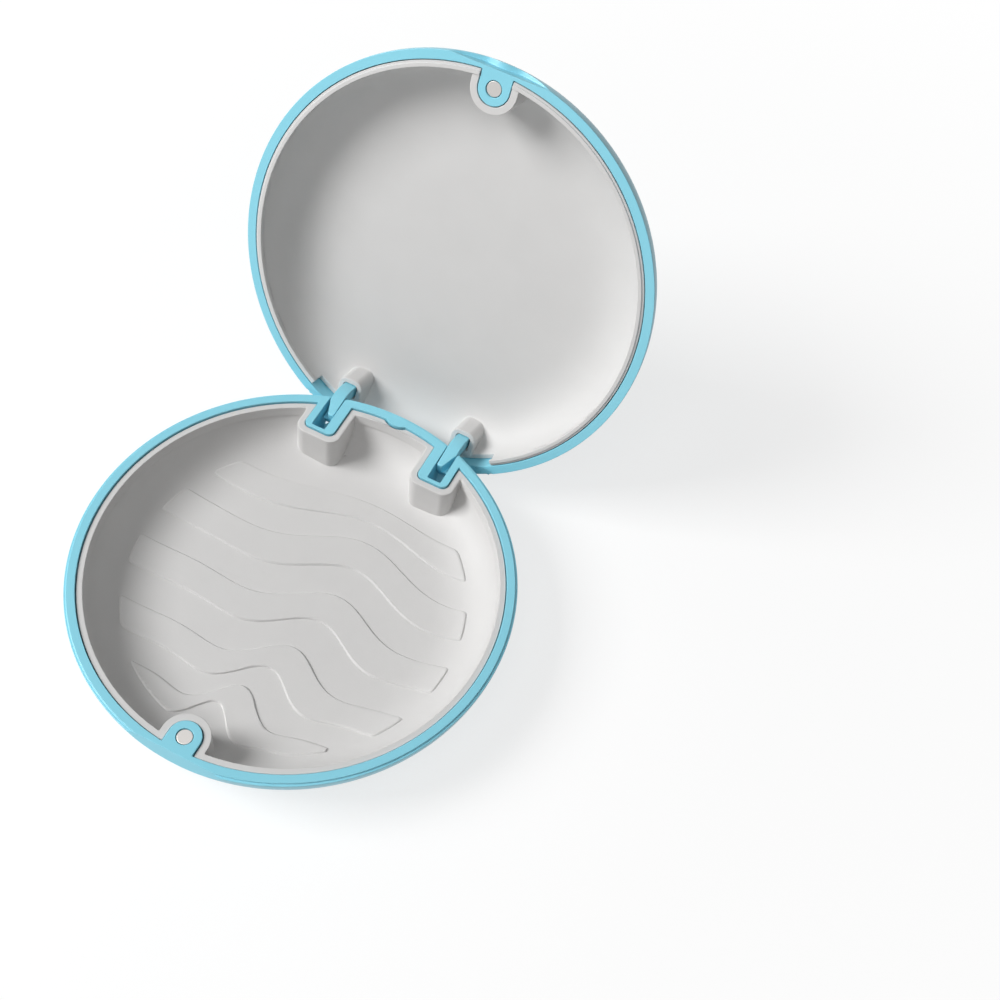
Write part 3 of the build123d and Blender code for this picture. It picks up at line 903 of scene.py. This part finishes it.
# One rib. Its sides are two waves that die out, and its top is the liner's floor, lifted
# by the rise and falling below the floor at its edges.
def ribTree():
    tree, given = startTree("rib", ribInputs)
    block = addNode(tree, "GeometryNodeMeshCube", {
        "Size": (2, 2, 2), "Vertices X": given["along"], "Vertices Y": given["across"],
        "Vertices Z": 2}).outputs["Mesh"]
    spot = addNode(tree, "ShaderNodeSeparateXYZ", {
        0: addNode(tree, "GeometryNodeInputPosition").outputs[0]}).outputs
    quarter = addNode(tree, mathNode, {0: spot["X"], 1: math.pi / 2}, operation="MULTIPLY").outputs[0]
    along = addNode(tree, mathNode, {0: quarter}, operation="SINE").outputs[0]
    row = addNode(tree, mathNode, {0: given["back"], 1: given["front"]}, operation="ADD").outputs[0]
    row = addNode(tree, mathNode, {0: row, 1: 0.5}, operation="MULTIPLY").outputs[0]
    squared = addNode(tree, mathNode, {0: row, 1: row}, operation="MULTIPLY").outputs[0]
    room = addNode(tree, mathNode, {0: given["span"], 1: squared}, operation="SUBTRACT").outputs[0]
    half = addNode(tree, mathNode, {0: room}, operation="SQRT").outputs[0]
    half = addNode(tree, mathNode, {0: half, 1: given["reach"]}, operation="MULTIPLY").outputs[0]
    x = addNode(tree, mathNode, {0: along, 1: half}, operation="MULTIPLY").outputs[0]
    edges = []
    for share in (given["back"], given["front"]):
        rowY = addNode(tree, mathNode, {0: share, 1: given["reach"]}, operation="MULTIPLY").outputs[0]
        length = addNode(tree, mathNode, {
            0: rowY, 1: given["growth"], 2: given["waveLength"]}, operation="MULTIPLY_ADD").outputs[0]
        bend = addNode(tree, mathNode, {0: rowY, 1: rowY}, operation="MULTIPLY").outputs[0]
        bend = addNode(tree, mathNode, {0: bend, 1: given["drift"]}, operation="DIVIDE").outputs[0]
        crest = addNode(tree, mathNode, {0: given["middle"], 1: bend}, operation="SUBTRACT").outputs[0]
        height = addNode(tree, mathNode, {0: 1.0, 1: share}, operation="SUBTRACT").outputs[0]
        for change, by in (("MULTIPLY", given["taper"]), ("MINIMUM", 1.0), ("MULTIPLY", given["waveHeight"])):
            height = addNode(tree, mathNode, {0: height, 1: by}, operation=change).outputs[0]
        offset = addNode(tree, mathNode, {0: x, 1: crest}, operation="SUBTRACT").outputs[0]
        phase = addNode(tree, mathNode, {0: offset, 1: length}, operation="DIVIDE").outputs[0]
        turn = addNode(tree, mathNode, {0: phase, 1: 2 * math.pi}, operation="MULTIPLY").outputs[0]
        wave = addNode(tree, mathNode, {0: turn}, operation="COSINE").outputs[0]
        fade = addNode(tree, mathNode, {0: phase, 1: given["fade"]}, operation="DIVIDE").outputs[0]
        fade = addNode(tree, mathNode, {0: fade, 1: fade}, operation="MULTIPLY").outputs[0]
        fade = addNode(tree, mathNode, {0: fade, 1: -1.0}, operation="MULTIPLY").outputs[0]
        fade = addNode(tree, mathNode, {0: fade}, operation="EXPONENT").outputs[0]
        wave = addNode(tree, mathNode, {0: wave, 1: fade}, operation="MULTIPLY").outputs[0]
        y = addNode(tree, mathNode, {0: wave, 1: height, 2: rowY}, operation="MULTIPLY_ADD").outputs[0]
        edges.append(addNode(tree, mathNode, {
            0: x, 1: given["lean"], 2: y}, operation="MULTIPLY_ADD").outputs[0])
    back, front = edges
    low = addNode(tree, mathNode, {0: front, 1: given["draft"]}, operation="SUBTRACT").outputs[0]
    high = addNode(tree, mathNode, {0: back, 1: given["draft"]}, operation="ADD").outputs[0]
    y = addNode(tree, "ShaderNodeMapRange", {
        "Value": spot["Y"], "From Min": -1.0, "From Max": 1.0, "To Min": low, "To Max": high},
        interpolation_type="SMOOTHSTEP").outputs[0]
    flat = addNode(tree, "ShaderNodeCombineXYZ", {"X": x, "Y": y}).outputs[0]
    radius = addNode(tree, "ShaderNodeVectorMath", {0: flat}, operation="LENGTH").outputs["Value"]
    toBack = addNode(tree, mathNode, {0: back, 1: y}, operation="SUBTRACT").outputs[0]
    toFront = addNode(tree, mathNode, {0: y, 1: front}, operation="SUBTRACT").outputs[0]
    toSide = addNode(tree, mathNode, {0: toBack, 1: toFront}, operation="MINIMUM").outputs[0]
    toEnd = addNode(tree, mathNode, {0: given["reach"], 1: radius}, operation="SUBTRACT").outputs[0]
    inside = addNode(tree, mathNode, {
        0: toSide, 1: toEnd, 2: given["corner"]}, operation="SMOOTH_MIN").outputs[0]
    draftOut = addNode(tree, mathNode, {0: given["draft"], 1: -1.0}, operation="MULTIPLY").outputs[0]
    fall = addNode(tree, mathNode, {0: given["rise"], 1: -1.0}, operation="MULTIPLY").outputs[0]
    lift = addNode(tree, "ShaderNodeMapRange", {
        "Value": inside, "From Min": draftOut, "From Max": given["draft"], "To Min": fall,
        "To Max": given["rise"]}, interpolation_type="SMOOTHSTEP").outputs[0]
    share = addNode(tree, "ShaderNodeMapRange", {
        "Value": radius, "From Min": given["floorRadius"], "From Max": given["hollowRadius"]}).outputs[0]
    share = addNode(tree, mathNode, {0: share, 1: given["fullness"]}, operation="POWER").outputs[0]
    share = addNode(tree, mathNode, {0: 1.0, 1: share}, operation="SUBTRACT").outputs[0]
    power = addNode(tree, mathNode, {0: 1.0, 1: given["fullness"]}, operation="DIVIDE").outputs[0]
    share = addNode(tree, mathNode, {0: share, 1: power}, operation="POWER").outputs[0]
    sunk = addNode(tree, mathNode, {0: share, 1: given["hollowDepth"]}, operation="MULTIPLY").outputs[0]
    floor = addNode(tree, mathNode, {0: given["rim"], 1: sunk}, operation="SUBTRACT").outputs[0]
    low = addNode(tree, mathNode, {0: floor, 1: given["root"]}, operation="SUBTRACT").outputs[0]
    high = addNode(tree, mathNode, {0: floor, 1: lift}, operation="ADD").outputs[0]
    z = addNode(tree, "ShaderNodeMapRange", {
        "Value": spot["Z"], "From Min": -1.0, "From Max": 1.0, "To Min": low, "To Max": high}).outputs[0]
    place = addNode(tree, "ShaderNodeCombineXYZ", {"X": x, "Y": y, "Z": z}).outputs[0]
    shaped = addNode(tree, "GeometryNodeSetPosition", {"Geometry": block, "Position": place}).outputs[0]
    endTree(tree, shaped, given["Material"])
    return tree


ribShape = ribTree()


def rib(back, front):
    return runTree("rib", ribShape, greyPlastic, dict(ribInputs, back=back, front=front))


def linerOuter():
    return pebble(
        linerRadius, case["flat"], case["rim"] - shell["floor"], shell["hollowFullness"], case["rim"],
        up=False, skirt=0.0)


def baseLiner():
    rim = case["rim"]
    ringLow = linerRingZ - liner["baseRing"]
    hollow = keepInside(
        pebble(linerRadius - liner["wall"], liner["floorRadius"], linerDepth, liner["hollowFullness"],
               rim, up=False),
        disc(2 * case["radius"], 0, ringLow))
    throat = linerRadius - liner["ring"] - liner["baseDraft"]
    mouth = linerRadius - liner["ring"] + liner["baseDraft"] * (liner["ringDrop"] + past) / liner["baseRing"]
    opening = disc(throat, ringLow - overlap, rim + past, topRadius=mouth)
    piece = cut(linerOuter(), join(hollow, opening))
    cut(piece, disc(2 * case["radius"], linerRingZ, rim + 2 * past))
    around = liner["gap"] + liner["pocketWall"]
    foot = shell["floor"] + liner["postFoot"]
    walls = boxColumns(around, case["radius"], foot, linerRingZ, liner["pocketCorner"])
    join(walls, boss(linerBoss + magnet["linerWall"], foot, linerRingZ))
    keepInside(walls, linerOuter())
    join(piece, walls)
    corner = hinge["boxCorner"] + liner["gap"]
    cut(piece, boxColumns(liner["gap"], 2 * case["radius"], -past, rim + past, corner))
    cut(piece, boss(linerBoss, -past, rim + past))
    cut(piece, clipDisc(liner["clipGap"], rim - shell["clipHeight"] - liner["clipGap"], rim + past))
    for back, front in ribs["rows"]:
        join(piece, rib(back, front))
    return piece


def lidLiner():
    lidLinerRadius = lidHollowRadius - liner["gap"]
    lip = baseHollowRadius - liner["lipClearance"]
    ringInner = lip - liner["lidRingWidth"]
    ringTop = lidRim - liner["lip"] + liner["lidRing"]
    outer = pebble(lidLinerRadius, case["flat"], lidHollowHeight, shell["hollowFullness"], lidRim, skirt=0.0)
    inBounds = copyOf(outer)
    join(outer, disc(lip, lidRim - liner["lip"], lidRim + liner["lipRoot"]))
    hollow = keepInside(
        pebble(lidLinerRadius - liner["wall"], liner["floorRadius"], lidHollowHeight - liner["floor"],
               liner["hollowFullness"], lidRim),
        disc(2 * case["radius"], ringTop, lidTop))
    cut(outer, join(hollow, disc(ringInner, 0, ringTop + overlap)))
    reach = liner["collarGap"] + liner["collarWall"]
    crown = lidTop - liner["postTop"]
    rearTop = lidRim + liner["rearCutHeight"]
    collar = column(
        armInnerX - reach, armOuterX + reach,
        hinge["legFront"] - liner["collarFront"] - liner["collarWall"], case["radius"],
        lidRim + liner["collarTop"], crown, liner["collarCorner"])
    cut(collar, box(0, 2 * case["radius"], legBack + reach, 2 * case["radius"], 0, rearTop))
    collars = bothSides(collar)
    keepOut = copyOf(collars)
    join(collars, boss(linerBoss + magnet["linerWall"], lidRim, crown))
    join(outer, keepInside(collars, inBounds))
    cut(outer, boss(linerBoss, 0, 2 * lidTop))
    far = 3 * case["radius"]
    edge = far * math.tan(math.radians(liner["rearCut"]))
    rearCut = prism([(0, 0), (edge, far), (-edge, far)], 0, rearTop)
    cut(rearCut, disc(ringInner - 2 * liner["ring"], -past, lidTop))
    cut(rearCut, keepOut)
    cut(outer, rearCut)
    gap = liner["collarGap"]
    cut(outer, bothSides(column(
        armInnerX - gap, armOuterX + gap, hinge["legFront"] - liner["collarFront"],
        legBack + gap, 0, 2 * lidTop, liner["collarCorner"] - liner["collarWall"])))
    cut(outer, sweepBarrel())
    return outer


def nearColumn(point, xLow, xHigh, front, wall):
    # Whether a place is at the outer side of a wall that goes round a column.
    near, far = liner["outerBand"]
    beside = max(xLow - abs(point.x), abs(point.x) - xHigh, front - point.y)
    return near * wall < beside < far * wall


def baseLinerEdge(point):
    out = math.hypot(point.x, point.y)
    if out < ribs["reach"] + liner["ribClear"] and point.z < case["rim"] / 2:
        return 0.0
    gap = liner["gap"]
    onPocket = nearColumn(point, boxInnerX - gap, boxOuterX + gap, boxFront - gap, liner["pocketWall"])
    onTop = abs(point.z - linerRingZ) < liner["levelBand"] and out < linerRadius - liner["ring"]
    if onPocket and onTop and point.y > 0:
        return 1.0
    return case["edge"] / liner["pocketRound"]


def lidLinerEdge(point):
    inner = armInnerX - liner["collarGap"]
    outer = armOuterX + liner["collarGap"]
    front = hinge["legFront"] - liner["collarFront"]
    onCollar = nearColumn(point, inner, outer, front, liner["collarWall"])
    onTop = abs(point.z - lidRim - liner["collarTop"]) < liner["levelBand"]
    if onCollar and onTop and point.y > 0:
        return 1.0
    return case["edge"] / liner["collarRound"]


baseInner = baseLiner()
softenEdges(baseInner, liner["pocketRound"], baseLinerEdge)
finishPiece(baseInner, "baseLiner", "base", "base_liner", greyPlastic)
lidInner = lidLiner()
softenEdges(lidInner, liner["collarRound"], lidLinerEdge)
finishPiece(lidInner, "lidLiner", "lid", "lid_liner", greyPlastic, isLid=True)


def magnetDisc(low, high):
    piece = disc(magnet["radius"], low, high, y=magnetY, segments=case["smallSegments"])
    return softenEdges(piece, case["edge"])


baseMagnet = magnetDisc(case["rim"] - magnet["sink"] - magnet["thickness"], case["rim"] - magnet["sink"])
finishPiece(baseMagnet, "magnetBase", "base", "base_magnet", nickel)
lidMagnet = magnetDisc(lidRim + magnet["sink"], lidRim + magnet["sink"] + magnet["thickness"])
finishPiece(lidMagnet, "magnetLid", "lid", "lid_magnet", nickel, isLid=True)
for pin in ("hinge_pin_left", "hinge_pin_right"):
    frame["nodes"][pin].data.materials.clear()
    frame["nodes"][pin].data.materials.append(steel)


# The camera stands where the middle of the base's rim comes to its place in the frame.
cameraSet = {
    "azimuth": 17.8,           # to the right of straight ahead
    "elevation": 56.8,
    "roll": 9.79,
    "distance": 6.3785,        # in case radii, along the view
    "focal": 1432.4,           # pixels
    "rimCentre": (294.64, 572.96),   # pixels, from the frame's upper left corner
    "frameSize": 1000,         # pixels
    "sensor": 36,              # mm
    "nearest": 0.01,           # metres; what is nearer isn't seen
}


def direction(azimuth, elevation):
    # Azimuth turns from straight ahead to the right.
    level = math.cos(elevation)
    return Vector((math.sin(azimuth) * level, -math.cos(azimuth) * level, math.sin(elevation)))


def addCamera():
    roll = math.radians(cameraSet["roll"])
    back = direction(math.radians(cameraSet["azimuth"]), math.radians(cameraSet["elevation"]))
    right = (-back).cross(Vector((0, 0, 1))).normalized()
    up = right.cross(-back)
    cameraRight = right * math.cos(roll) + up * math.sin(roll)
    cameraUp = up * math.cos(roll) - right * math.sin(roll)
    half = cameraSet["frameSize"] / 2
    distance = cameraSet["distance"] * case["radius"]
    across = (cameraSet["rimCentre"][0] - half) / cameraSet["focal"] * distance
    above = (half - cameraSet["rimCentre"][1]) / cameraSet["focal"] * distance
    place = Vector((0, 0, case["rim"])) - cameraRight * across - cameraUp * above + back * distance
    data = bpy.data.cameras.new("camera")
    data.sensor_width = cameraSet["sensor"]
    data.lens = cameraSet["focal"] / cameraSet["frameSize"] * cameraSet["sensor"]
    data.clip_start = cameraSet["nearest"]
    camera = bpy.data.objects.new("camera", data)
    turn = Matrix((cameraRight, cameraUp, back)).transposed()
    camera.matrix_world = Matrix.Translation(place / toMm) @ turn.to_4x4()
    bpy.context.collection.objects.link(camera)
    bpy.context.scene.camera = camera


addCamera()
print("stage: camera")


studio = {
    "floorSize": 6.0,          # metres, as all sizes here
    "floorColor": "f4f4f4",
    "floorGlow": 0.7,          # share of plain white in the paper, so that shadows stay pale
    "glowStrength": 1.07,      # a little over white, to bring the lit paper up to it
    "shadeCentre": (-0.0025, 0.008, 0),    # beneath the case the paper shows its true shade
    "shadeRadius": (0.038, 0.0435),
    "fadeRadius": (0.10, 0.45),            # further out the paper turns plain white
    "world": 0.12,             # strength of the even light from all sides
    "target": (0, 0.02, 0.03),
    "distance": 1.25,
    "size": 0.6,
    # The direction from straight ahead, the height in degrees, and the power in watts.
    "lamps": {"key": (-64, 40, 16.4), "top": (10, 65, 2.4)},
}


def sightRay(tree):
    # 1 for what the camera sees, straight or in a gloss, and 0 for light that falls on the case.
    path = addNode(tree, "ShaderNodeLightPath").outputs
    seen = path["Is Camera Ray"]
    for ray in ("Is Glossy Ray", "Is Transmission Ray"):
        seen = addNode(tree, mathNode, {0: seen, 1: path[ray]}, operation="MAXIMUM").outputs[0]
    return seen


def addFloor():
    half = studio["floorSize"] / 2
    mesh = bpy.data.meshes.new("floor")
    corners = [(-half, -half, 0), (half, -half, 0), (half, half, 0), (-half, half, 0)]
    mesh.from_pydata(corners, [], [(0, 1, 2, 3)])
    floor = newPiece("floor", mesh)
    material, tree, place = startMaterial("studioPaper")
    sheet = addNode(tree, "ShaderNodeBsdfDiffuse", {"Color": linearColor(studio["floorColor"])})
    away = addNode(tree, "ShaderNodeVectorMath", {0: place, 1: studio["shadeCentre"]}, operation="DISTANCE")
    clear = addNode(tree, "ShaderNodeMapRange", {
        "Value": away.outputs["Value"], "From Min": studio["shadeRadius"][0],
        "From Max": studio["shadeRadius"][1], "To Max": studio["floorGlow"]})
    fade = addNode(tree, "ShaderNodeMapRange", {
        "Value": away.outputs["Value"], "From Min": studio["fadeRadius"][0],
        "From Max": studio["fadeRadius"][1], "To Max": 1 - studio["floorGlow"]})
    share = addNode(tree, mathNode, {0: clear.outputs["Result"], 1: fade.outputs["Result"]})
    share = addNode(tree, mathNode, {0: sightRay(tree), 1: share.outputs[0]}, operation="MULTIPLY")
    glow = addNode(tree, "ShaderNodeEmission", {"Strength": studio["glowStrength"]})
    both = addNode(tree, "ShaderNodeMixShader", {
        "Fac": share.outputs[0], 1: sheet.outputs[0], 2: glow.outputs[0]})
    addNode(tree, "ShaderNodeOutputMaterial", {"Surface": both.outputs[0]})
    floor.data.materials.append(material)


def addLight():
    world = bpy.data.worlds.new("studio")
    bpy.context.scene.world = world
    world.use_nodes = True
    tree = world.node_tree
    tree.nodes.clear()
    strength = addNode(tree, "ShaderNodeMapRange", {
        "Value": sightRay(tree), "To Min": studio["world"], "To Max": 1.0})
    sky = addNode(tree, "ShaderNodeBackground", {
        "Color": (1, 1, 1, 1), "Strength": strength.outputs["Result"]})
    addNode(tree, "ShaderNodeOutputWorld", {"Surface": sky.outputs["Background"]})
    target = Vector(studio["target"])
    for name, (azimuth, elevation, power) in studio["lamps"].items():
        light = bpy.data.lights.new(name, "AREA")
        light.energy = power
        light.size = studio["size"]
        lamp = bpy.data.objects.new(name, light)
        back = direction(math.radians(azimuth), math.radians(elevation))
        lamp.location = target + back * studio["distance"]
        lamp.rotation_euler = (-back).to_track_quat("-Z", "Y").to_euler()
        bpy.context.collection.objects.link(lamp)


addFloor()
addLight()
bpy.context.scene.view_settings.view_transform = "Standard"
print("stage: studio")
